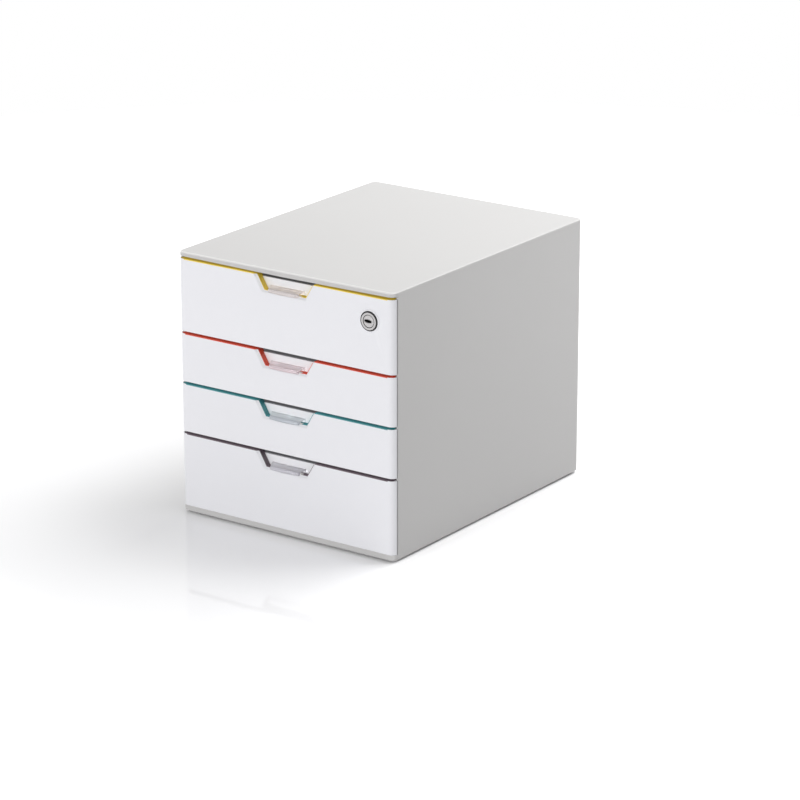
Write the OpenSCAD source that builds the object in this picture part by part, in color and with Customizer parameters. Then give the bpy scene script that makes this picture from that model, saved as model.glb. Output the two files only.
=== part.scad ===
// Desktop drawer box with four drawers, the top one with a cam lock.
//
// Millimetres. X runs to the right, Y to the back and Z up. The origin is on the ground, under the
// middle of the box that holds everything, so the pulls reach as far forward as the casing reaches
// back. Every drawer is closed and the lock is open, with its keyway level.

/* [Casing] */

// Width over the side walls
casing_w = 280; // [270:1:320]
// Depth from the front lips to the back edge
casing_d = 356; // [345:1:400]
// Height of the casing without its feet
casing_h = 290; // [288:1:296]
// Radius of the upright corners, which the drawer fronts follow
corner_r = 7.5; // [6.5:0.5:9]
// Radius of the edges round the top and the bottom
edge_r = 2; // [1.5:0.5:2.5]
// Thickness of the side walls
side_wall = 2; // [1.8:0.1:2.4]
// Thickness of the top and of the bottom panel
panel_t = 2.6; // [2:0.1:3.2]
// Height of the lip over the drawers, at its ends
top_lip = 4.9; // [4.5:0.1:6]
// Way by which the upper lip's lower edge bows down in the middle
lip_bow = 1.3; // [0.5:0.1:1.4]
// Height of the lip under the drawers
bottom_lip = 6.3; // [5:0.1:7]
// Height of the four feet under the bottom panel
foot_h = 2; // [1.5:0.5:4]
// Radius of a foot
foot_r = 9; // [7:0.5:10]

/* [Drawers] */

// Height of one storage unit: a low drawer takes two and a tall one three
unit_h = 28; // [27:0.5:28.5]
// Open gap over each drawer front
front_gap = 2.8; // [2.5:0.1:3.5]
// Way from the front face back to the side walls' front edges, which the fronts reach round to
corner_step = 6.8; // [6.4:0.1:7]
// Open gap between a drawer front and the side walls' front edges
corner_gap = 1; // [0.5:0.1:1]
// Thickness of the front cover's skin
cover_skin = 2.6; // [2:0.1:3]
// Depth of the front cover from front to back
cover_d = 10.9; // [10.6:0.1:11.4]
// Way from the front face back to the tray's front wall, the white wall behind each notch
wall_back = 8.9; // [8.4:0.1:9.1]
// Thickness of the tray's walls and floor
tray_wall = 2; // [1.6:0.1:2.4]
// Way that a drawer opens before its stop fins meet the runner's lugs
drawer_travel = 250; // [200:5:260]

/* [Notch and pull] */

// Half width of the notch where its flanks would meet the front's top edge
notch_top = 37.4; // [36.6:0.2:38.4]
// Half width of the notch where its flanks would meet its floor
notch_floor = 27.2; // [26.6:0.2:28]
// Depth of the notch below the front's top edge
notch_h = 17.3; // [16.8:0.1:17.6]
// Width of the slope that leads from the front face into the notch
notch_flare = 2.2; // [1.6:0.1:2.6]
// Thickness of the coloured trim that lines the notch and caps the front
trim_t = 0.9; // [0.7:0.1:1.2]
// Depth of the coloured cap from front to back
trim_d = 10.2; // [10:0.1:10.4]
// Width of the white rim beside the coloured cap
cap_rim = 0.9; // [0.6:0.1:1.2]
// Way that the clear pull stands proud of the front
pull_out = 4; // [3.6:0.1:5]
// Way from the front face back to the pull's back edge
pull_depth = 6.7; // [6:0.1:7.5]
// Half width of the pull at its front corners
pull_front = 18.2; // [17:0.2:19]
// Half width of the pull at its back edge
pull_back = 22; // [20:0.2:22.4]
// Way from the front's top edge down to the pull's back edge
pull_drop = 11.2; // [10.5:0.1:11.3]
// Angle by which the pull's face falls towards the front
pull_slope = 17; // [14:0.5:17.5]

/* [Lock] */

// Way from the middle of the box to the middle of the lock
lock_x = 109.5; // [100:0.5:111]
// Way from the top edge of the front down to the middle of the lock
lock_drop = 26.2; // [25:0.1:27]
// Radius of the lock's front ring
bezel_r = 10; // [9.5:0.1:11]
// Radius of the plug's face
plug_r = 6.7; // [6.4:0.1:7]
// Reach of the cam from the middle of the lock
cam_reach = 28; // [27:0.5:29]

/* [Hidden] */

$fn = 64;

white_abs = [0.93, 0.93, 0.94];
grey_abs = [0.76, 0.76, 0.76];
clear_ps = [0.82, 0.84, 0.86, 0.6];
rubber = [0.25, 0.25, 0.26];
nickel = [0.72, 0.71, 0.7];
card_white = [0.9, 0.89, 0.87];

// Each drawer from the top down: the storage units under it, and its trim's colour.
drawers = [
  [7, [0.84, 0.66, 0.12]],
  [5, [0.80, 0.25, 0.20]],
  [3, [0.30, 0.58, 0.58]],
  [0, [0.42, 0.37, 0.41]],
];
top_drawer = 0;

overlap = 1;
running_gap = 0.3;

// Casing
half_w = casing_w / 2;
y_front = pull_out - (casing_d + pull_out) / 2;
y_back = y_front + casing_d;
top_z = foot_h + casing_h;
mouth_z0 = foot_h + bottom_lip;
mouth_z1 = top_z - top_lip;
wall_x = half_w - side_wall;
inside_z0 = foot_h + panel_t;
inside_z1 = top_z - panel_t;
lip_d = 12;
panel_rib_t = 2;
panel_rib_h = 1.8;
panel_rib_x = [-70, -35, 0, 35, 70];
back_inset = 2;
back_t = 2.5;
back_rib_d = 3;
foot_inset = 22;
foot_spigot = 1;

// Runner frames, each a plate with a channel for every drawer's flange
frame_t = 2;
frame_x = wall_x - frame_t;
frame_y0 = y_front + lip_d + 1;
frame_y1 = y_back - 6;
runner_x = wall_x - 9.4;
runner_t = 2.2;
stiffener_t = 1.8;
stiffener_y = [-120, -50, 20, 90, 155];
lug_y = y_front + 23;
lug_l = 4;
lug_h = 4.5;

// Covers, which fit between the side walls at their back
side_gap = 0.5;
cover_x = wall_x - side_gap;
cover_side = 2.2;
hollow_x = cover_x - cover_side;
wrap_d = corner_step - corner_gap;
boss_r = 2.5;

// Trays
wall_front_y = y_front + wall_back;
wall_t = 2.4;
tray_x = 127;
tray_y1 = y_back - 13;
tray_lift = cover_side + running_gap;
tray_corner_r = 6;
front_wall_x = hollow_x - running_gap;
flange_drop = 8;
flange_t = 2;
flange_x = frame_x - 1.2;
wall_drop = 4.4;
fin_h = 4;
fin_x = tray_x + 5;

// Notch: the flank leans out by this angle, and its two bends are concentric for every offset
flank_lean = atan((notch_top - notch_floor) / notch_h);
bend_top_r = 6;
bend_floor_r = 3;
bend_top_z = -trim_t - bend_top_r;
bend_top_x = notch_floor + (bend_top_z + notch_h) * tan(flank_lean) + bend_top_r / cos(flank_lean);
bend_floor_z = bend_floor_r - notch_h;
bend_floor_x = notch_floor + bend_floor_r * tan(flank_lean) - bend_floor_r / cos(flank_lean);

// Mouth of the notch: its cut through the cover's skin leaves the trim's front end in sight
notch_edge = 0.4;
mouth_angle = atan(notch_flare / cover_skin);
mouth_reach = 100;

// Pull, measured from the front face and from the front's top edge
pull_floor_z = trim_t - notch_h;
pull_crown = 0.8;
pull_corner_r = 0.8;
pull_taper = atan((pull_back - pull_front) / (pull_depth + pull_out - pull_crown));
pull_corner_y = pull_corner_r + pull_crown - pull_out;
pull_corner_x = pull_back - (pull_depth - pull_corner_y) * tan(pull_taper)
  - pull_corner_r / cos(pull_taper);
crown_r = (pull_front * pull_front + pull_crown * pull_crown) / (2 * pull_crown);
nose_r = 1.7;
nose_y = nose_r - pull_out;
nose_z = pull_face_z(nose_y) - nose_r / cos(pull_slope);
window_t = 0.9;
heel_t = 1.2;
label_t = 0.3;

// Lock
lock_z = front_top(top_drawer) - lock_drop;
boss_out = 0.6;
bezel_t = 1.6;
bezel_edge = 0.8;
barrel_r = 8.5;
bezel_y = y_front - boss_out - bezel_t;
barrel_y1 = y_front + 20;
plug_step = 4;
plug_fit = 0.05;
plug_bevel = 0.35;
plug_tail_r = 6;
cam_y = barrel_y1 + 1.4;
cam_t = 2;
strike_y = barrel_y1 - 3;
strike_t = 2.8;

function front_bottom(i) = mouth_z0 + drawers[i][0] * unit_h + running_gap;
function front_top(i) = (i == top_drawer ? mouth_z1 : front_bottom(i - 1)) - front_gap;
function flange_top(i) = front_top(i) - flange_drop;

// Points along an arc about [x, z], from angle a0 to a1.
function arc(x, z, r, a0, a1, steps) =
  [for (i = [0:steps]) let (a = a0 + (a1 - a0) * i / steps) [x + r * cos(a), z + r * sin(a)]];

// The right half of the notch from its top bend to its floor, with z = 0 at the front's top edge.
// The line is moved t into the notch from the cover's cut edge.
function notch_half(t) = concat(
  arc(bend_top_x, bend_top_z, bend_top_r + t, 90, 180 - flank_lean, 8),
  arc(bend_floor_x, bend_floor_z, bend_floor_r - t, -flank_lean, -90, 5)
);

function reversed(points) = [for (i = [len(points) - 1:-1:0]) points[i]];

function flipped(points) = [for (p = points) [-p[0], p[1]]];

// Flat shape of the notch, open upward past the front's top edge.
module notch_shape(t) {
  right = concat([[bend_top_x, overlap]], notch_half(t));
  polygon(concat(right, reversed(flipped(right))));
}

// All that lies on the notch's side of its flared right flank, which turns about the flank's line
// at the back of the cover's skin.
module inside_flank() {
  translate([notch_floor - notch_edge / cos(flank_lean), y_front + cover_skin, -notch_h])
    rotate([0, flank_lean, 0]) rotate([0, 0, mouth_angle])
      translate([-mouth_reach, -mouth_reach / 2, -mouth_reach / 2]) cube(mouth_reach);
}

// All that lies over the notch's flared floor.
module over_floor() {
  translate([0, y_front + cover_skin, notch_edge - notch_h]) rotate([mouth_angle, 0, 0])
    translate([-mouth_reach / 2, -mouth_reach / 2, 0]) cube(mouth_reach);
}

// Flared mouth of the notch in the cover's skin, between two flanks and a floor.
module notch_mouth() {
  intersection() {
    block(
      [-notch_top - 9, y_front - overlap, -2 * notch_h],
      [notch_top + 9, y_front + cover_skin + overlap, overlap]
    );
    inside_flank();
    mirror([1, 0, 0]) inside_flank();
    over_floor();
  }
}

// Rounded rectangle between two corners.
module rounded_rect(x0, y0, x1, y1, r) {
  translate([x0 + r, y0]) square([x1 - x0 - 2 * r, y1 - y0]);
  translate([x0, y0 + r]) square([x1 - x0, y1 - y0 - 2 * r]);
  for (x = [x0 + r, x1 - r], y = [y0 + r, y1 - r]) {
    translate([x, y]) circle(r);
  }
}

// Box between two corners.
module block(low, high) {
  translate(low) cube(high - low);
}

// Extrudes a flat [x, z] shape backwards from y0.
module along_y(y0, depth) {
  translate([0, y0 + depth, 0]) rotate([90, 0, 0]) linear_extrude(depth) children();
}

// Extrudes a flat [y, z] shape to the right from x0.
module along_x(x0, width) {
  translate([x0, 0, 0]) rotate([90, 0, 90]) linear_extrude(width) children();
}

// Cylinder along Y from y0, with an optional second radius at its back.
module rod_y(y0, depth, r, r_back = undef) {
  translate([0, y0, 0]) rotate([-90, 0, 0])
    cylinder(h = depth, r1 = r, r2 = is_undef(r_back) ? r : r_back);
}

// Draws a shape and its mirror image on the other side.
module both_sides() {
  children();
  mirror([1, 0, 0]) children();
}

// --- Casing ---------------------------------------------------------------------------------

// Upright corner post, turned, with the same rounded ends as the casing's edges.
module corner_post() {
  rotate_extrude() {
    square([corner_r - edge_r, casing_h]);
    translate([0, edge_r]) square([corner_r, casing_h - 2 * edge_r]);
    for (z = [edge_r, casing_h - edge_r]) {
      translate([corner_r - edge_r, z]) circle(edge_r);
    }
  }
}

// The casing's full outer form: two runs with rounded edges, and a turned post at each corner.
module outer_form() {
  along_x(corner_r - half_w, casing_w - 2 * corner_r)
    rounded_rect(y_front, foot_h, y_back, top_z, edge_r);
  along_y(y_front + corner_r, casing_d - 2 * corner_r)
    rounded_rect(-half_w, foot_h, half_w, top_z, edge_r);
  for (x = [corner_r - half_w, half_w - corner_r], y = [y_front + corner_r, y_back - corner_r]) {
    translate([x, y, foot_h]) corner_post();
  }
}

// Places a child at each foot.
module at_foot(right, rear) {
  translate([right * (half_w - foot_inset), rear ? y_back - foot_inset : y_front + foot_inset, 0])
    children();
}

// Flat shape of the casing's mouth, whose upper edge bows down in the middle.
module mouth_shape() {
  reach = half_w + overlap;
  bow = [for (k = [-12:12]) [reach * k / 12, mouth_z1 - lip_bow * (1 - k * k / 144)]];
  polygon(concat([[reach, mouth_z0], [-reach, mouth_z0]], bow));
}

module casing_shell() {
  color(grey_abs) {
    difference() {
      outer_form();
      along_y(y_front - overlap, lip_d + 2 * overlap) intersection() {
        mouth_shape();
        translate([-wall_x, 0]) square([2 * wall_x, top_z]);
      }
      along_y(y_front - overlap, corner_step + overlap) mouth_shape();
      block([-wall_x, y_front + lip_d, inside_z0], [wall_x, y_back + overlap, inside_z1]);
      for (right = [-1, 1], rear = [false, true]) {
        at_foot(right, rear) cylinder(h = foot_h + foot_spigot, r = foot_r);
      }
    }
    for (x = panel_rib_x) {
      translate([x - panel_rib_t / 2, y_front + lip_d, 0]) {
        translate([0, 0, inside_z1 - panel_rib_h]) cube([panel_rib_t, casing_d - 30, panel_rib_h]);
        translate([0, 0, inside_z0]) cube([panel_rib_t, casing_d - 30, panel_rib_h]);
      }
    }
  }
}

// Flat panel set into the open back, stiffened by crossing ribs on its inner face.
module back_panel() {
  panel_y = y_back - back_inset - back_t;
  rib_t = 1.6;
  rim = 2;
  color(grey_abs) {
    block([-wall_x, panel_y, inside_z0], [wall_x, panel_y + back_t, inside_z1]);
    for (x = [-90, -30, 30, 90]) {
      translate([x - rib_t / 2, panel_y - back_rib_d, inside_z0 + 10])
        cube([rib_t, back_rib_d, inside_z1 - inside_z0 - 20]);
    }
    for (k = [1:3]) {
      translate([-115, panel_y - back_rib_d, inside_z0 + k * (inside_z1 - inside_z0) / 4])
        cube([230, back_rib_d, rib_t]);
    }
    for (z = [inside_z0, inside_z1 - rim]) {
      translate([-115, panel_y - 4, z]) cube([230, 4, rim]);
    }
  }
}

// Flat bar of a runner, cut back at its front so that the drawer's flange finds its way in.
module runner_bar(z) {
  translate([0, 0, z]) linear_extrude(runner_t) polygon([
    [frame_x + overlap, frame_y0],
    [runner_x + 4, frame_y0],
    [runner_x, frame_y0 + 9],
    [runner_x, frame_y1],
    [frame_x + overlap, frame_y1],
  ]);
}

// Moulded side frame: a plate against the side wall, two bars for each drawer's flange, a stop lug
// under each lower bar, and upright stiffeners between the channels.
module runner_frame(right) {
  color(white_abs) mirror([right ? 0 : 1, 0, 0]) {
    block([frame_x, frame_y0, inside_z0], [wall_x, frame_y1, inside_z1]);
    for (i = [0:3]) {
      flange_z = flange_top(i) - flange_t;
      runner_bar(flange_z - running_gap - runner_t);
      runner_bar(flange_top(i) + running_gap + 0.2);
      lug_z1 = flange_z - running_gap - runner_t;
      block([runner_x, lug_y, lug_z1 - lug_h], [frame_x + overlap, lug_y + lug_l, lug_z1 + overlap]);
    }
    for (y = stiffener_y) {
      stiffener_zs = concat(
        [inside_z1],
        [for (i = [0:3]) each [flange_top(i) + running_gap + 0.2, flange_top(i) - flange_t - running_gap]],
        [inside_z0]
      );
      for (k = [0:2:8]) {
        block([frame_x - 2, y, stiffener_zs[k + 1]], [frame_x + overlap, y + stiffener_t, stiffener_zs[k]]);
      }
    }
  }
}

module foot(right, rear) {
  color(rubber) at_foot(right, rear) rotate_extrude() {
    square([foot_r - 1, foot_h + foot_spigot]);
    translate([0, 1]) square([foot_r, foot_h + foot_spigot - 1]);
    translate([foot_r - 1, 1]) circle(1);
  }
}

// Hook plate under the top panel that the locked cam stands behind.
module lock_strike() {
  plate_x = 11;
  engage = 6.6;
  plate_z0 = lock_z + cam_reach - engage;
  foot_t = 1.6;
  color(grey_abs) translate([lock_x, strike_y, 0]) {
    block([-plate_x, 0, plate_z0], [plate_x, strike_t, inside_z1]);
    block([-plate_x, 0, inside_z1 - foot_t], [plate_x, 18, inside_z1]);
    for (x = [-plate_x, plate_x - 1.6]) {
      along_x(x, 1.6) polygon([
        [strike_t - 0.1, inside_z1 - foot_t + 0.1],
        [strike_t - 0.1, plate_z0 + 6],
        [18, inside_z1 - foot_t + 0.1],
      ]);
    }
  }
}

// --- Drawers --------------------------------------------------------------------------------

// Open tray with a flange along each side, a stop fin under each flange and a tall front wall.
module drawer_tray(i) {
  z0 = front_bottom(i) + tray_lift;
  z1 = flange_top(i);
  fin_y = lug_y + lug_l + drawer_travel + running_gap;
  fin_z1 = z1 - flange_t - running_gap - runner_t - 0.5;
  color(white_abs) difference() {
    union() {
      translate([0, 0, z0]) linear_extrude(z1 - z0)
        rounded_rect(-tray_x, wall_front_y, tray_x, tray_y1, tray_corner_r);
      block(
        [-front_wall_x, wall_front_y, z0],
        [front_wall_x, wall_front_y + wall_t, front_top(i) - wall_drop]
      );
      both_sides() {
        translate([0, 0, z1 - flange_t]) linear_extrude(flange_t) polygon([
          [tray_x - overlap, frame_y0 + 4],
          [flange_x - 3, frame_y0 + 4],
          [flange_x, frame_y0 + 12],
          [flange_x, tray_y1 - 14],
          [flange_x - 4, tray_y1 - 6],
          [tray_x - overlap, tray_y1 - 6],
        ]);
        translate([0, 0, fin_z1 - fin_h]) linear_extrude(fin_h) polygon([
          [tray_x - overlap, fin_y],
          [fin_x, fin_y],
          [fin_x, fin_y + 3],
          [tray_x - overlap, fin_y + 15],
        ]);
      }
    }
    translate([0, 0, z0 + tray_wall]) linear_extrude(z1 - z0)
      rounded_rect(
        -tray_x + tray_wall, wall_front_y + wall_t, tray_x - tray_wall, tray_y1 - tray_wall,
        tray_corner_r - tray_wall
      );
    if (i == top_drawer) {
      translate([lock_x, 0, lock_z]) rod_y(wall_front_y - overlap, wall_t + 2 * overlap, barrel_r + 0.1);
    }
  }
}

// Flat plan of a front: its sides follow the casing's rounded corners as far as the gap before the
// side walls, and step in behind it. The sides are moved in by a rim, and the front edge is not.
module front_plan(rim, depth) {
  intersection() {
    rounded_rect(rim - half_w, y_front, half_w - rim, y_back, corner_r);
    union() {
      translate([-half_w, y_front]) square([casing_w, wrap_d - rim]);
      translate([rim - cover_x, y_front]) square([2 * (cover_x - rim), depth]);
    }
  }
}

// White front: a shallow pan, open at its back and along its top, with a seat for the coloured cap,
// the notch cut through its skin, and low bosses that hold it on the tray's front wall.
module drawer_cover(i) {
  z0 = front_bottom(i);
  z1 = front_top(i);
  skin_y = y_front + cover_skin;
  boss_d = wall_front_y - skin_y;
  cap_edge_x = half_w - cap_rim - corner_r;
  color(white_abs) difference() {
    union() {
      difference() {
        translate([0, 0, z0]) linear_extrude(z1 - z0) front_plan(0, cover_d);
        block([-hollow_x, skin_y, z0 + cover_side], [hollow_x, y_front + cover_d + overlap, z1 + overlap]);
        translate([0, 0, z1 - trim_t]) linear_extrude(trim_t + overlap) {
          front_plan(cap_rim, trim_d);
          translate([-cap_edge_x, y_front - overlap]) square([2 * cap_edge_x, 2 * overlap]);
        }
      }
      for (x = [-115, -60, 60, i == top_drawer ? 80 : 115], z = [z0 + 12, z1 - 24]) {
        translate([x, 0, z]) rod_y(skin_y - overlap, boss_d + overlap, boss_r);
      }
      if (i == top_drawer) {
        translate([lock_x, 0, lock_z]) {
          rod_y(y_front - boss_out, boss_out + overlap, 12, 13.5);
          rod_y(skin_y - overlap, boss_d + overlap, barrel_r + 2);
        }
      }
    }
    translate([0, 0, z1]) along_y(y_front - overlap, cover_skin + 2 * overlap) notch_shape(trim_t);
    translate([0, 0, z1]) notch_mouth();
    if (i == top_drawer) {
      translate([lock_x, 0, lock_z]) rod_y(y_front - 2 * overlap, cover_d + 2 * overlap, barrel_r + 0.1);
    }
  }
}

// Flat section of the trim: the cap, and the band that lines the notch where deep is true.
module trim_section(deep) {
  difference() {
    union() {
      translate([-half_w, -trim_t]) square([casing_w, trim_t]);
      if (deep) {
        intersection() {
          notch_shape(0);
          translate([-half_w, -2 * notch_h]) square([casing_w, 2 * notch_h]);
        }
      }
    }
    notch_shape(trim_t);
  }
}

// Coloured trim: one thin band that caps the front's top edge, runs down both flanks and across
// the floor of the notch behind the cover's skin, and clips down in front of the tray's wall.
module drawer_trim(i) {
  z1 = front_top(i);
  clip_t = 1.2;
  color(drawers[i][1]) difference() {
    translate([0, 0, z1]) {
      intersection() {
        union() {
          difference() {
            along_y(y_front, trim_d) trim_section(false);
            notch_mouth();
          }
          along_y(y_front + cover_skin, trim_d - cover_skin) trim_section(true);
        }
        translate([0, 0, -2 * notch_h]) linear_extrude(3 * notch_h) front_plan(cap_rim, trim_d);
      }
      both_sides() for (x = [48, 86, 122]) {
        block([x - 5, wall_front_y - clip_t, -5], [x + 5, wall_front_y, -trim_t + 0.1]);
      }
    }
    block(
      [-hollow_x, wall_front_y, z1 - 2 * notch_h],
      [hollow_x, y_front + cover_d + overlap, z1 - wall_drop]
    );
  }
}

// Height of the pull's sloping face at a depth y behind the front face.
function pull_face_z(y) = -pull_drop - (pull_depth - y) * tan(pull_slope);

// Flat plan of the pull with y = 0 at the front face: tapered sides that end in round corners.
module pull_plan() {
  turn = 65;
  corner = arc(pull_corner_x, pull_corner_y, pull_corner_r, -pull_taper, -turn, 5);
  corner_end = corner[5] - (corner[5][1] + pull_out) * [tan(turn), 1];
  right = concat([[pull_back, pull_depth]], corner, [corner_end]);
  polygon(concat(right, reversed(flipped(right))));
}

// Part of a wide round-edged disc, tilted by the slope of the pull's face, which gives the pull its
// flat face and the full round nose along its curved front edge.
module pull_disc() {
  translate([0, nose_y, nose_z]) rotate([pull_slope, 0, 0]) translate([0, crown_r - nose_r, 0])
    rotate_extrude($fn = 360) {
      translate([0, -nose_r]) square([crown_r - nose_r, 2 * nose_r]);
      translate([crown_r - nose_r, 0]) circle(nose_r);
    }
}

// Clear pull: a thin sloping window between a round nose, which hangs in front of the cover's skin,
// and a heel that stands on the trim. A label slides in under the window from either side.
module drawer_pull(i) {
  color(clear_ps) translate([0, y_front, front_top(i)]) difference() {
    intersection() {
      pull_disc();
      translate([0, 0, -2 * notch_h]) linear_extrude(2 * notch_h) pull_plan();
    }
    block([-pull_back - overlap, 0, -2 * notch_h], [pull_back + overlap, pull_depth + overlap, pull_floor_z]);
    along_x(-pull_back - overlap, 2 * pull_back + 2 * overlap) polygon([
      [0, pull_floor_z - overlap],
      [0, pull_face_z(0) - window_t],
      [pull_depth - heel_t, pull_face_z(pull_depth - heel_t) - window_t],
      [pull_depth - heel_t, pull_floor_z - overlap],
    ]);
  }
}

// Paper label that lies on the trim under the pull's window.
module drawer_label(i) {
  label_x = pull_back - 1.5;
  color(card_white) translate([0, y_front, front_top(i) + pull_floor_z])
    block([-label_x, 0.2, 0], [label_x, pull_depth - heel_t - 0.1, label_t]);
}

// --- Lock -----------------------------------------------------------------------------------

// Front ring and threaded barrel in one, bored in two steps for the plug.
module lock_housing() {
  color(nickel) translate([lock_x, 0, lock_z]) difference() {
    union() {
      rod_y(bezel_y, bezel_edge, bezel_r - bezel_edge, bezel_r);
      rod_y(bezel_y + bezel_edge, bezel_t - bezel_edge, bezel_r);
      rod_y(bezel_y + bezel_t - 0.1, barrel_y1 - bezel_y - bezel_t + 0.1, barrel_r);
    }
    rod_y(bezel_y - overlap, plug_step + overlap, plug_r + plug_fit);
    rod_y(bezel_y - 0.1, plug_bevel + 0.1, plug_r + plug_fit + plug_bevel + 0.1, plug_r + plug_fit);
    rod_y(bezel_y, barrel_y1 - bezel_y + overlap, plug_tail_r + plug_fit);
  }
}

// Hexagonal nut behind the tray's front wall.
module lock_nut() {
  color(nickel) translate([lock_x, wall_front_y + wall_t, lock_z]) rotate([-90, 30, 0]) difference() {
    cylinder(h = 4, r = 12.7, $fn = 6);
    translate([0, 0, -overlap]) cylinder(h = 4 + 2 * overlap, r = barrel_r + 0.05);
  }
}

// Plug with its stepped keyway, a square tail for the cam and a hole for the cam screw.
module lock_plug() {
  face_y = bezel_y + 0.2;
  key_h = 2;
  key_d = 15;
  color(nickel) translate([lock_x, 0, lock_z]) difference() {
    union() {
      rod_y(face_y, plug_bevel, plug_r - plug_bevel, plug_r);
      rod_y(face_y + plug_bevel, bezel_y + plug_step - face_y - plug_bevel, plug_r);
      rod_y(bezel_y + plug_step - 0.1, cam_y - bezel_y - plug_step + 0.1, plug_tail_r);
      block([-3, cam_y - 0.1, -3], [3, cam_y + cam_t, 3]);
    }
    along_y(bezel_y, key_d) {
      translate([-4.8, -0.7]) square([4.8, key_h]);
      translate([-1, -1.3]) square([4.4, key_h]);
    }
    rod_y(cam_y - 5, 12, 1.5);
  }
}

// Flat cam with a rounded tip, which points left when open and up when locked.
module lock_cam() {
  tip_r = 5;
  color(nickel) translate([lock_x, 0, lock_z]) along_y(cam_y, cam_t) difference() {
    union() {
      circle(7.5);
      translate([tip_r - cam_reach, -tip_r]) square([cam_reach - tip_r, 2 * tip_r]);
      translate([tip_r - cam_reach, 0]) circle(tip_r);
    }
    translate([-3, -3]) square(6);
  }
}

module lock_cam_screw() {
  color(nickel) translate([lock_x, 0, lock_z]) difference() {
    union() {
      rod_y(cam_y + cam_t, 2, 4.2, 3.4);
      rod_y(cam_y - 4.5, 4.5 + cam_t + 0.1, 1.45);
    }
    for (turn = [0, 90]) {
      rotate([0, turn, 0]) block([-2.2, cam_y + cam_t + 0.9, -0.5], [2.2, cam_y + cam_t + 3, 0.5]);
    }
  }
}

casing_shell();
back_panel();
runner_frame(false);  // runner_frame_left
runner_frame(true);  // runner_frame_right
foot(-1, false);  // foot_front_left
foot(1, false);  // foot_front_right
foot(-1, true);  // foot_rear_left
foot(1, true);  // foot_rear_right
lock_strike();
drawer_tray(0);  // drawer_1_tray
drawer_cover(0);  // drawer_1_cover
drawer_trim(0);  // drawer_1_trim
drawer_pull(0);  // drawer_1_pull
drawer_label(0);  // drawer_1_label
drawer_tray(1);  // drawer_2_tray
drawer_cover(1);  // drawer_2_cover
drawer_trim(1);  // drawer_2_trim
drawer_pull(1);  // drawer_2_pull
drawer_label(1);  // drawer_2_label
drawer_tray(2);  // drawer_3_tray
drawer_cover(2);  // drawer_3_cover
drawer_trim(2);  // drawer_3_trim
drawer_pull(2);  // drawer_3_pull
drawer_label(2);  // drawer_3_label
drawer_tray(3);  // drawer_4_tray
drawer_cover(3);  // drawer_4_cover
drawer_trim(3);  // drawer_4_trim
drawer_pull(3);  // drawer_4_pull
drawer_label(3);  // drawer_4_label
lock_housing();
lock_nut();
lock_plug();
lock_cam();
lock_cam_screw();
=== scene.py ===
import math

import bpy
from mathutils import Euler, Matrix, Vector


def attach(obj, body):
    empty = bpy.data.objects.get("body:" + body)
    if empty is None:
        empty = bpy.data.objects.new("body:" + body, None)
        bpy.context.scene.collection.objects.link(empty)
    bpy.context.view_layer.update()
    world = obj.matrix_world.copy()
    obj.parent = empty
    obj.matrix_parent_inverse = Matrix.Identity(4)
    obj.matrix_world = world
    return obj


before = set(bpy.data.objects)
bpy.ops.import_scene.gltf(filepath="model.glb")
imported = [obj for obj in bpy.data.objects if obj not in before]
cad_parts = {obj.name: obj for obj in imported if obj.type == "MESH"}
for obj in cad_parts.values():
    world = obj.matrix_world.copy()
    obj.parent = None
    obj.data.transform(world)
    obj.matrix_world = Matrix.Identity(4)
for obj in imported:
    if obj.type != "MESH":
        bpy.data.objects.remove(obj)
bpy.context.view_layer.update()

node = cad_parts

# --- Camera -------------------------------------------------------------------------------------
# A long lens stands well back, to the right of the box's front and a little above its top. It
# looks down on the box by eighteen degrees, with no roll and no shift.

camera_place = Vector((2.1091, -2.9548, 1.2986))
camera_azimuth = math.radians(35.222)
camera_elevation = math.radians(18.194)

camera_data = bpy.data.cameras.new("camera")
camera_data.sensor_width = 36.0
camera_data.lens = 158.16
camera_data.clip_end = 60.0
camera = bpy.data.objects.new("camera", camera_data)
camera.location = camera_place
camera.rotation_euler = Euler((math.pi / 2 - camera_elevation, 0.0, camera_azimuth))
bpy.context.scene.collection.objects.link(camera)
bpy.context.scene.camera = camera

# --- Ground and light ---------------------------------------------------------------------------
# The box stands on a round white table with a slight gloss, in a white room that lights it from
# all round. Two soft lamps hang behind it, and a low one stands in front on the left.

bpy.context.scene.view_settings.view_transform = "Standard"


def feed(tree, made, inputs):
    """Fills a node's inputs: another node's output is linked, and anything else is set."""
    for key, source in inputs.items():
        if isinstance(source, bpy.types.NodeSocket):
            tree.links.new(source, made.inputs[key])
        else:
            made.inputs[key].default_value = source


def add(tree, kind, inputs=None, **settings):
    """Adds a shader node, with its settings and then its inputs."""
    made = tree.nodes.new("ShaderNode" + kind)
    for key, setting in settings.items():
        setattr(made, key, setting)
    feed(tree, made, inputs or {})
    return made


def calculate(tree, operation, *terms):
    """The result of a sum with one to three terms."""
    return add(tree, "Math", dict(enumerate(terms)), operation=operation).outputs[0]


def ramp(tree, source, start, end, low=0.0, high=1.0):
    """Goes evenly from low to high as source goes from start to end, and stays level outside."""
    made = add(tree, "MapRange", {"Value": source, "From Min": start, "From Max": end,
                                  "To Min": low, "To Max": high})
    return made.outputs["Result"]


def new_material(name):
    """An empty material and its node tree."""
    material = bpy.data.materials.new(name)
    material.use_nodes = True
    material.node_tree.nodes.clear()
    return material, material.node_tree


# The room lights the box at its own level, and shows as plain white itself, in gloss and through
# clear plastic too.
room_light, room_shown = 0.38, 1.0
room_colour = (1.0, 1.0, 1.0, 1.0)

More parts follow.
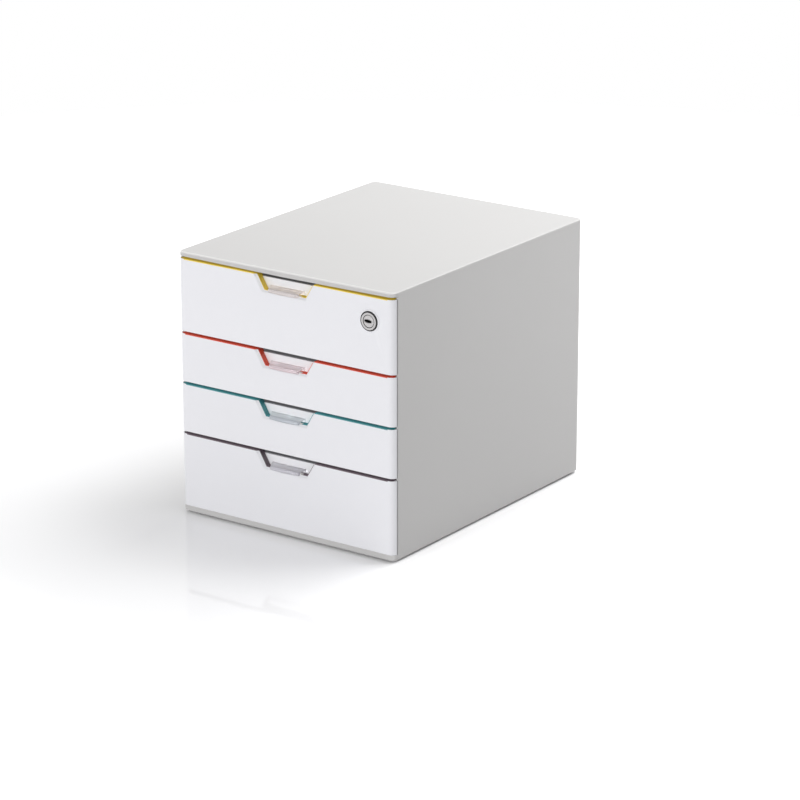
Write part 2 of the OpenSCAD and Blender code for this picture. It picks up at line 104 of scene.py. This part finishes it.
world = bpy.data.worlds.new("white_room")
bpy.context.scene.world = world
world.use_nodes = True
tree = world.node_tree
tree.nodes.clear()
path = add(tree, "LightPath").outputs
seen = calculate(tree, "MAXIMUM", path["Is Camera Ray"], path["Is Glossy Ray"])
seen = calculate(tree, "MAXIMUM", seen, path["Is Transmission Ray"])
lit = add(tree, "Background", {"Color": room_colour, "Strength": room_light})
shown = add(tree, "Background", {"Color": room_colour, "Strength": room_shown})
room = add(tree, "MixShader", {"Fac": seen, 1: lit.outputs[0], 2: shown.outputs[0]})
add(tree, "OutputWorld", {"Surface": room.outputs[0]})

table_radius, table_sides = 1.85, 128

floor_mesh = bpy.data.meshes.new("floor")
rim = [(table_radius * math.cos(math.tau * k / table_sides),
        table_radius * math.sin(math.tau * k / table_sides), 0.0) for k in range(table_sides)]
floor_mesh.from_pydata(rim, [], [tuple(range(table_sides))])
floor = bpy.data.objects.new("floor", floor_mesh)
bpy.context.scene.collection.objects.link(floor)

# The table keeps the box's shadow and shows as plain white elsewhere, whiter towards its rim. It
# lights the box from below as a slightly grey one.
table_grey = (0.86, 0.86, 0.87, 1.0)
table_white = (1.0, 1.0, 1.008)
table_near, table_far = 0.45, 1.1
white_near, white_far = 1.12, 1.6

floor_material, tree = new_material("white_table")
place = add(tree, "TexCoord").outputs["Object"]
reach = add(tree, "VectorMath", {0: place}, operation="LENGTH").outputs["Value"]
level = ramp(tree, reach, table_near, table_far, white_near, white_far)
bright = add(tree, "VectorMath", {0: table_white, "Scale": level}, operation="SCALE")
path = add(tree, "LightPath").outputs
seen = calculate(tree, "MAXIMUM", path["Is Camera Ray"], path["Is Glossy Ray"])
colour = add(tree, "Mix", {"Factor": seen, "A": table_grey, "B": bright.outputs[0]},
             data_type="RGBA")
shader = add(tree, "BsdfPrincipled", {"Base Color": colour.outputs["Result"], "Roughness": 0.06})
add(tree, "OutputMaterial", {"Surface": shader.outputs[0]})
floor_mesh.materials.append(floor_material)


def soft_lamp(name, place, target, size, power, mirrored=True):
    """A square lamp of a size in metres and a power in watts, turned to its target. Glossy faces
    show it unless mirrored is false."""
    lamp_data = bpy.data.lights.new(name, "AREA")
    lamp_data.shape = "SQUARE"
    lamp_data.size = size
    lamp_data.energy = power
    lamp = bpy.data.objects.new(name, lamp_data)
    lamp.visible_glossy = mirrored
    lamp.location = place
    aim = Vector(target) - Vector(place)
    lamp.rotation_euler = aim.to_track_quat("-Z", "Y").to_euler()
    bpy.context.scene.collection.objects.link(lamp)


soft_lamp("lamp_over_right", place=(0.7, 1.05, 2.2), target=(0.0, 0.0, 0.15), size=1.7, power=44.0)
soft_lamp("lamp_back", place=(0.1, 1.3, 1.3), target=(0.0, 0.1, 0.29), size=1.0, power=5.0)
soft_lamp("lamp_front", place=(-0.45, -2.9, 0.6), target=(0.0, 0.0, 0.12), size=0.9, power=37.0,
          mirrored=False)

# --- Casing -------------------------------------------------------------------------------------
# One light grey ABS moulding: top, bottom and side walls with narrow front lips. Its outside has a
# fine spark-eroded grain, worn a little smoother and paler along its edges.


def shader_colour(colour):
    """A colour given as 0 to 255 per channel, as a shader needs it."""
    def linear(c):
        c = c / 255.0
        return c / 12.92 if c <= 0.04045 else ((c + 0.055) / 1.055) ** 2.4
    return tuple(linear(c) for c in colour) + (1.0,)


def split(tree, vector):
    """A vector's X, Y and Z."""
    return add(tree, "SeparateXYZ", {0: vector}).outputs


def new_group(name, inputs, outputs):
    """A shader node group, with the inputs it is given and the node at its end. inputs maps a
    socket's name to its kind and default, and outputs maps a name to a kind."""
    group = bpy.data.node_groups.new(name, "ShaderNodeTree")
    for label, (kind, default) in inputs.items():
        socket = group.interface.new_socket(name=label, in_out="INPUT",
                                            socket_type="NodeSocket" + kind)
        socket.default_value = default
    for label, kind in outputs.items():
        group.interface.new_socket(name=label, in_out="OUTPUT", socket_type="NodeSocket" + kind)
    return group, group.nodes.new("NodeGroupInput").outputs, group.nodes.new("NodeGroupOutput")


# Moulded grain: a fine pitted height, and a roughness that drifts slowly over the surface.
noise_middle = 0.5
grain_group, given, end = new_group(
    "moulded_grain",
    {"Grains per Metre": ("Float", 1500.0), "Roughness": ("Float", 0.45),
     "Roughness Drift": ("Float", 0.06)},
    {"Height": "Float", "Roughness": "Float"})
place = add(grain_group, "TexCoord").outputs["Object"]
fine = add(grain_group, "TexNoise", {"Vector": place, "Scale": given["Grains per Metre"],
                                     "Detail": 3.0, "Roughness": 0.6})
slow = add(grain_group, "TexNoise", {"Vector": place, "Scale": 14.0, "Detail": 4.0})
swing = calculate(grain_group, "SUBTRACT", slow.outputs["Fac"], noise_middle)
gloss = calculate(grain_group, "MULTIPLY_ADD", swing, given["Roughness Drift"],
                  given["Roughness"])
feed(grain_group, end, {"Height": fine.outputs["Fac"], "Roughness": gloss})

# Worn edges and painted outline: the colour turns a little towards a second one where the surface
# is sharply convex, and it drifts slightly from place to place, as moulded plastic does. On the
# plastics and the lock this is edge wear; on the pulls the second colour is darker, and it paints
# a dark outline as painted shade.
unchanged = 1.0
edge_wear_and_outline_group, given, end = new_group(
    "edge_wear_and_painted_outline",
    {"Colour": ("Color", (0.8, 0.8, 0.8, 1.0)), "Edge Colour": ("Color", (0.9, 0.9, 0.9, 1.0)),
     "Edge Amount": ("Float", 0.4), "Drift": ("Float", 0.04)},
    {"Colour": "Color"})
place = add(edge_wear_and_outline_group, "TexCoord").outputs["Object"]
convex = add(edge_wear_and_outline_group, "NewGeometry").outputs["Pointiness"]
sharp = ramp(edge_wear_and_outline_group, convex, start=0.52, end=0.62)
patch = add(edge_wear_and_outline_group, "TexNoise", {"Vector": place, "Scale": 90.0, "Detail": 3.0})
uneven = calculate(edge_wear_and_outline_group, "MULTIPLY", sharp, patch.outputs["Fac"])
amount = calculate(edge_wear_and_outline_group, "MULTIPLY", uneven, given["Edge Amount"])
slow = add(edge_wear_and_outline_group, "TexNoise", {"Vector": place, "Scale": 5.0, "Detail": 2.0})
swing = ramp(edge_wear_and_outline_group, slow.outputs["Fac"], start=0.0, end=1.0, low=-0.5, high=0.5)
gain = calculate(edge_wear_and_outline_group, "MULTIPLY_ADD", swing, given["Drift"], unchanged)
tint = add(edge_wear_and_outline_group, "VectorMath", {0: given["Colour"], "Scale": gain}, operation="SCALE")
worn = add(edge_wear_and_outline_group, "Mix", {"Factor": amount, "A": tint.outputs[0],
                               "B": given["Edge Colour"]}, data_type="RGBA")
feed(edge_wear_and_outline_group, end, {"Colour": worn.outputs["Result"]})

# Painted shade: the colour is scaled to the tone as a value goes from its start to its end. A tone
# below one paints shade, and a tone above one paints a highlight.
shade_group, given, end = new_group(
    "shaded_place",
    {"Colour": ("Color", (0.8, 0.8, 0.8, 1.0)), "Value": ("Float", 0.0), "Start": ("Float", 0.0),
     "End": ("Float", 1.0), "Tone": ("Float", 1.0)},
    {"Colour": "Color"})
level = ramp(shade_group, given["Value"], given["Start"], given["End"], unchanged, given["Tone"])
scaled = add(shade_group, "VectorMath", {0: given["Colour"], "Scale": level}, operation="SCALE")
feed(shade_group, end, {"Colour": scaled.outputs[0]})


def plastic(name, colour, edge_colour, roughness, grains, depth, wear=0.4, drift=0.03, painted_glow=0.0):
    """A moulded plastic: drifting colour, worn edges, grain and uneven gloss. Its grain has a
    count per metre and a depth in metres. The painted glow is a small emission of white light from
    the whole surface, which stands in for the light that thin white walls let through."""
    material, tree = new_material(name)
    edges = add(tree, "Group", {
        "Colour": shader_colour(colour), "Edge Colour": shader_colour(edge_colour),
        "Edge Amount": wear, "Drift": drift}, node_tree=edge_wear_and_outline_group)
    grain = add(tree, "Group", {"Grains per Metre": grains, "Roughness": roughness},
                node_tree=grain_group)
    bump = add(tree, "Bump", {"Strength": 0.6, "Distance": depth,
                              "Height": grain.outputs["Height"]})
    shader = add(tree, "BsdfPrincipled", {
        "Base Color": edges.outputs["Colour"], "Roughness": grain.outputs["Roughness"],
        "Normal": bump.outputs["Normal"], "Emission Color": (1.0, 1.0, 1.0, 1.0),
        "Emission Strength": painted_glow})
    add(tree, "OutputMaterial", {"Surface": shader.outputs[0]})
    return material


def skin_of(tree):
    """The shader of a finished material."""
    return next(n for n in tree.nodes if n.type == "BSDF_PRINCIPLED")


def shade(tree, source, start, end, tone):
    """Scales a finished material's colour to the tone as source, a node's output, goes from start
    to end: painted shade where the tone is below one, and a painted highlight where it is above."""
    skin = skin_of(tree)
    group = add(tree, "Group", {
        "Colour": skin.inputs["Base Color"].links[0].from_socket, "Value": source,
        "Start": start, "End": end, "Tone": tone}, node_tree=shade_group)
    feed(tree, skin, {"Base Color": group.outputs["Colour"]})


def finish(name, material, edge, segments=2):
    """Gives a node its material and a small true radius along its sharp edges, in metres."""
    piece = node[name]
    mesh = piece.data
    mesh.materials.clear()
    mesh.materials.append(material)
    if "custom_normal" in mesh.attributes:
        mesh.attributes.remove(mesh.attributes["custom_normal"])
    mesh.shade_smooth()
    weld = piece.modifiers.new("weld", "WELD")
    weld.merge_threshold = 1e-6
    flat = piece.modifiers.new("flat", "DECIMATE")
    flat.decimate_type = "DISSOLVE"
    flat.angle_limit = math.radians(0.6)
    round_edge = piece.modifiers.new("round_edge", "BEVEL")
    round_edge.limit_method = "ANGLE"
    round_edge.angle_limit = math.radians(32)
    round_edge.width = edge
    round_edge.segments = segments
    round_edge.harden_normals = True
    round_edge.use_clamp_overlap = True


# The side walls and front lips are painted darker than the top, as painted shade, and the rounded
# edge over the drawers is painted paler, as a painted highlight.
casing_grey = plastic("casing_grey", (207, 206, 205), (222, 221, 220), roughness=0.42,
                      grains=1800.0, depth=0.00004)
tree = casing_grey.node_tree
facing = split(tree, add(tree, "NewGeometry").outputs["Normal"])
sideways = calculate(tree, "ABSOLUTE", facing["X"])
brow = calculate(tree, "MULTIPLY", facing["Y"], facing["Z"])
# Painted shade on the side walls and front lips, and a painted highlight on the rounded top front
# edge:
shade(tree, sideways, start=0.7, end=0.98, tone=0.87)
shade(tree, facing["Y"], start=-0.75, end=-0.97, tone=0.89)
shade(tree, brow, start=-0.06, end=-0.3, tone=1.34)
finish("casing_shell", casing_grey, edge=0.0004)

# --- Back panel ---------------------------------------------------------------------------------
# A flat panel in a slightly darker grey is pressed into the casing's open back. It is moulded
# with crossing ribs on its inner face.

panel_grey = plastic("panel_grey", (196, 195, 193), (209, 208, 206), roughness=0.5, grains=1500.0,
                     depth=0.00005)
finish("back_panel", panel_grey, edge=0.0003)

# --- Runner frames ------------------------------------------------------------------------------
# A white moulded frame stands against each side wall, with a channel for every drawer. The bars
# are polished by the sliding flanges.

runner_white = plastic("runner_white", (226, 226, 226), (238, 238, 238), roughness=0.32,
                       grains=900.0, depth=0.00002)
for side in ("left", "right"):
    finish("runner_frame_" + side, runner_white, edge=0.0003)

# --- Feet ---------------------------------------------------------------------------------------
# Four flat rubber discs sit in shallow round seats in the bottom panel, and lift the casing just
# clear of the table.

foot_rubber = plastic("foot_rubber", (58, 58, 60), (80, 80, 82), roughness=0.75, grains=2500.0,
                      depth=0.0001, drift=0.08)
for corner in ("front_left", "front_right", "rear_left", "rear_right"):
    finish("foot_" + corner, foot_rubber, edge=0.0002)

# --- Strike plate -------------------------------------------------------------------------------
# A gusseted plate of the casing's own grey hangs from the top panel, and the locked cam stands
# behind it.

finish("lock_strike", casing_grey, edge=0.0002)

# --- Trays --------------------------------------------------------------------------------------
# Each drawer is an open white tray with a flange along both sides and a tall front wall. The
# trays are moulded in one piece, and slide in the channels of the runner frames.

drawers = (1, 2, 3, 4)
# The trays are given a faint painted glow, an emission that stands in for light through their thin
# walls.
tray_white = plastic("tray_white", (234, 234, 237), (241, 241, 243), roughness=0.38,
                     grains=1300.0, depth=0.00003, painted_glow=0.02)
for number in drawers:
    finish(f"drawer_{number}_tray", tray_white, edge=0.0004)

# --- Front covers -------------------------------------------------------------------------------
# A smooth white ABS shell snaps on each tray's front wall. Its ends follow the casing's rounded
# corners, and the finger notch is cut through its top edge.

# Leaned normal: the surface is lit as if it were turned some way to the front.
to_the_front = (0.0, -1.0, 0.0)
lean_group, given, end = new_group(
    "leaned_normal",
    {"Normal": ("Vector", (0.0, 0.0, 0.0)), "Amount": ("Float", 0.0)},
    {"Normal": "Vector"})
push = add(lean_group, "VectorMath", {0: to_the_front, "Scale": given["Amount"]},
           operation="SCALE")
turned = add(lean_group, "VectorMath", {0: given["Normal"], 1: push.outputs[0]}, operation="ADD")
unit = add(lean_group, "VectorMath", {0: turned.outputs[0]}, operation="NORMALIZE")
feed(lean_group, end, {"Normal": unit.outputs[0]})


def lean(tree, amount):
    """Leans a finished material's normal to the front by amount, a node's output."""
    skin = skin_of(tree)
    group = add(tree, "Group", {
        "Normal": skin.inputs["Normal"].links[0].from_socket, "Amount": amount},
        node_tree=lean_group)
    feed(tree, skin, {"Normal": group.outputs["Normal"]})


# The notch's mouth is blended so softly into the front that its slopes catch the front's light,
# which fades out over a margin beside it. The rear rim of the shell, in the joint before the
# casing's wall, is painted darker in a thin line, as painted shade of the joint.
mouth_half_width, mouth_margin = 0.035, 0.002
rim_front, rim_back = -0.1712, -0.1707

cover_white = plastic("cover_white", (233, 233, 237), (242, 242, 245), roughness=0.3,
                      grains=2200.0, depth=0.000012)
tree = cover_white.node_tree
place = split(tree, add(tree, "TexCoord").outputs["Object"])
facing = split(tree, add(tree, "NewGeometry").outputs["Normal"])
from_middle = calculate(tree, "ABSOLUTE", place["X"])
in_mouth = ramp(tree, from_middle, mouth_half_width + mouth_margin, mouth_half_width)
sloping = ramp(tree, facing["Y"], start=-0.15, end=-0.4, high=3.0)
lean(tree, calculate(tree, "MULTIPLY", in_mouth, sloping))
# Painted shade: the shell's rear rim is darkened to a thin dark line in the joint.
shade(tree, place["Y"], rim_front, rim_back, tone=0.6)
for number in drawers:
    finish(f"drawer_{number}_cover", cover_white, edge=0.0004, segments=3)

# --- Coloured trims -----------------------------------------------------------------------------
# A thin coloured band caps each front's top edge and lines its notch. It is self-coloured plastic
# with a satin face, and fine ribs on its level faces throw the light forward.

trim_colours = {
    1: ("yellow", (244, 211, 74)),
    2: ("coral_red", (224, 77, 50)),
    3: ("teal", (68, 150, 156)),
    4: ("mauve_brown", (106, 92, 100)),
}
edge_gain = 18
full_colour = 255

for number, (name, colour) in trim_colours.items():
    paler = tuple(min(full_colour, c + edge_gain) for c in colour)
    band = plastic("trim_" + name, colour, paler, roughness=0.35, grains=2000.0, depth=0.00001,
                   drift=0.02)
    tree = band.node_tree
    facing = split(tree, add(tree, "NewGeometry").outputs["Normal"])
    lean(tree, ramp(tree, facing["Z"], start=0.9, end=0.99, high=1.1))
    finish(f"drawer_{number}_trim", band, edge=0.00015)

# --- Labels -------------------------------------------------------------------------------------
# A blank slip of white card lies on each trim, under the pull's window, which keeps it in place.
# It is there to be written on, and isn't glued.

card_white = plastic("card_white", (236, 234, 230), (240, 238, 234), roughness=0.8, grains=5000.0,
                     depth=0.00002)
for number in drawers:
    finish(f"drawer_{number}_label", card_white, edge=0.00005, segments=1)

# --- Pulls --------------------------------------------------------------------------------------
# Each pull is one piece of clear styrene, frosted beneath, with a sloping window and a full round
# nose. Its tint is a painted reflection of its trim's colour, with the nose painted darker as
# shade. It has a faint painted glow, and painted shade on its underside, along its convex edges
# and along its top edge.

nose_front, nose_back = -0.1768, -0.1752
painted_outline_tone = 0.72
shadow_left = 0.06


def pull_styrene(name, window, nose, painted_pull_glow):
    """Frosted clear styrene with one tint over the label and a deeper one in the nose: a painted
    reflection of the trim's colour, with painted shade in the nose. A painted glow of its own
    colour comes out of its whole surface, and it throws next to no shadow."""
    material, tree = new_material(name)
    coordinates = add(tree, "TexCoord").outputs
    place = split(tree, coordinates["Object"])
    height = split(tree, coordinates["Generated"])
    facing = split(tree, add(tree, "NewGeometry").outputs["Normal"])
    behind = ramp(tree, place["Y"], nose_front, nose_back)
    tint = add(tree, "Mix", {"Factor": behind, "A": nose + (1.0,), "B": window + (1.0,)},
               data_type="RGBA")
    painted_outline = tuple(painted_outline_tone * c for c in nose) + (1.0,)
    edges = add(tree, "Group", {
        "Colour": tint.outputs["Result"], "Edge Colour": painted_outline, "Edge Amount": 1.0, "Drift": 0.03},
        node_tree=edge_wear_and_outline_group)
    grain = add(tree, "Group", {
        "Grains per Metre": 1200.0, "Roughness": 0.42, "Roughness Drift": 0.08},
        node_tree=grain_group)
    bump = add(tree, "Bump", {"Strength": 0.3, "Distance": 0.00002,
                              "Height": grain.outputs["Height"]})
    in_shadow = add(tree, "LightPath").outputs["Is Shadow Ray"]
    shader = add(tree, "BsdfPrincipled", {
        "Base Color": edges.outputs["Colour"], "Roughness": grain.outputs["Roughness"],
        "IOR": 1.5, "Transmission Weight": 0.72, "Normal": bump.outputs["Normal"],
        "Alpha": ramp(tree, in_shadow, start=0.0, end=1.0, low=1.0, high=shadow_left),
        "Emission Strength": painted_pull_glow})
    add(tree, "OutputMaterial", {"Surface": shader.outputs[0]})
    # Painted shade on the underside and along the top edge; the painted glow takes the same
    # colour.
    shade(tree, facing["Z"], start=-0.05, end=-0.55, tone=0.7)
    shade(tree, height["Z"], start=0.86, end=0.93, tone=0.8)
    feed(tree, shader, {"Emission Color": shader.inputs["Base Color"].links[0].from_socket})
    return material


# Each drawer's pull: the window's tint, the nose's tint and the strength of its painted glow. The
# tints are painted reflection of the trim's colour, and the nose's is painted darker as shade.
pull_tints = {
    1: ((0.97, 0.92, 0.89), (0.67, 0.63, 0.63), 0.082),
    2: ((0.97, 0.92, 0.94), (0.69, 0.60, 0.63), 0.072),
    3: ((0.94, 0.965, 0.98), (0.54, 0.565, 0.61), 0.06),
    4: ((0.84, 0.835, 0.86), (0.61, 0.60, 0.65), 0.048),
}
for number, (window, nose, painted_pull_glow) in pull_tints.items():
    styrene = pull_styrene(f"clear_styrene_{number}", window, nose, painted_pull_glow)
    finish(f"drawer_{number}_pull", styrene, edge=0.00025, segments=3)

# --- Lock ---------------------------------------------------------------------------------------
# A nickel-plated die-cast cam lock: the housing is held by a nut, and the plug turns in it and
# carries the cam on a screw. Its rims and flanks are painted dark grey as a painted dark
# reflection, and only its front-facing faces keep the plate's colour.

# The plate is darker in an oval round the keyway.
keyway_patch_centre = (0.1088, 0.0, 0.2581)
keyway_patch_half_width, keyway_patch_half_height = 0.0046, 0.002

nickel, tree = new_material("nickel_plate")
coordinates = add(tree, "TexCoord").outputs
facing = split(tree, coordinates["Normal"])
# Painted dark reflection: the rims and flanks, which don't face the front, are painted a dark
# grey.
front_facing = ramp(tree, calculate(tree, "ABSOLUTE", facing["Y"]), start=0.78, end=0.97)
offset = add(tree, "VectorMath", {0: coordinates["Object"], 1: keyway_patch_centre},
             operation="SUBTRACT")
patch = add(tree, "VectorMath", {
    0: offset.outputs[0], 1: (1.0 / keyway_patch_half_width, 0.0, 1.0 / keyway_patch_half_height)},
    operation="MULTIPLY")
reach = add(tree, "VectorMath", {0: patch.outputs[0]}, operation="LENGTH").outputs["Value"]
outside_keyway_patch = ramp(tree, reach, start=0.75, end=1.25)
edges = add(tree, "Group", {
    "Colour": shader_colour((184, 182, 182)), "Edge Colour": shader_colour((206, 204, 204)),
    "Edge Amount": 0.5, "Drift": 0.05}, node_tree=edge_wear_and_outline_group)
grain = add(tree, "Group", {
    "Grains per Metre": 3000.0, "Roughness": 0.28, "Roughness Drift": 0.12},
    node_tree=grain_group)
bump = add(tree, "Bump", {"Strength": 0.4, "Distance": 0.00002,
                          "Height": grain.outputs["Height"]})
tone = add(tree, "Mix", {
    "Factor": calculate(tree, "MULTIPLY", front_facing, outside_keyway_patch), "A": shader_colour((62, 61, 62)),
    "B": edges.outputs["Colour"]}, data_type="RGBA")
shader = add(tree, "BsdfPrincipled", {
    "Base Color": tone.outputs["Result"], "Metallic": 1.0,
    "Roughness": grain.outputs["Roughness"], "Normal": bump.outputs["Normal"]})
add(tree, "OutputMaterial", {"Surface": shader.outputs[0]})
for name in ("lock_housing", "lock_nut", "lock_plug", "lock_cam", "lock_cam_screw"):
    finish(name, nickel, edge=0.0002)

# --- Lock washer --------------------------------------------------------------------------------
# A flat black fibre washer is clamped under the lock's front ring, and shows as a thin dark line
# round it. It is a dark ring put there as painted shade, standing in for the shade in the gap
# under the ring.

washer_centre_x, washer_centre_z = 0.1092, 0.2580
washer_front, washer_back = -0.1770, -0.1766
washer_hole, washer_rim = 0.0086, 0.0107
washer_sides = 96

# The four rings of its outline follow each other round its section.
washer_rings = ((washer_hole, washer_back), (washer_hole, washer_front),
                (washer_rim, washer_front), (washer_rim, washer_back))
washer_points = []
for radius, depth in washer_rings:
    for k in range(washer_sides):
        turn = math.tau * k / washer_sides
        washer_points.append((washer_centre_x + radius * math.cos(turn), depth,
                              washer_centre_z + radius * math.sin(turn)))
washer_faces = []
for ring in range(len(washer_rings)):
    start, next_start = ring * washer_sides, (ring + 1) % len(washer_rings) * washer_sides
    for k in range(washer_sides):
        after = (k + 1) % washer_sides
        washer_faces.append((start + k, start + after, next_start + after, next_start + k))
washer_mesh = bpy.data.meshes.new("lock_washer")
washer_mesh.from_pydata(washer_points, [], washer_faces)
washer = bpy.data.objects.new("lock_washer", washer_mesh)
bpy.context.scene.collection.objects.link(washer)
washer_black = plastic("washer_black", (30, 30, 31), (52, 52, 53), roughness=0.7, grains=2500.0,
                       depth=0.00003, drift=0.1)
washer_mesh.materials.append(washer_black)
washer_mesh.shade_flat()
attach(washer, "drawer_1")
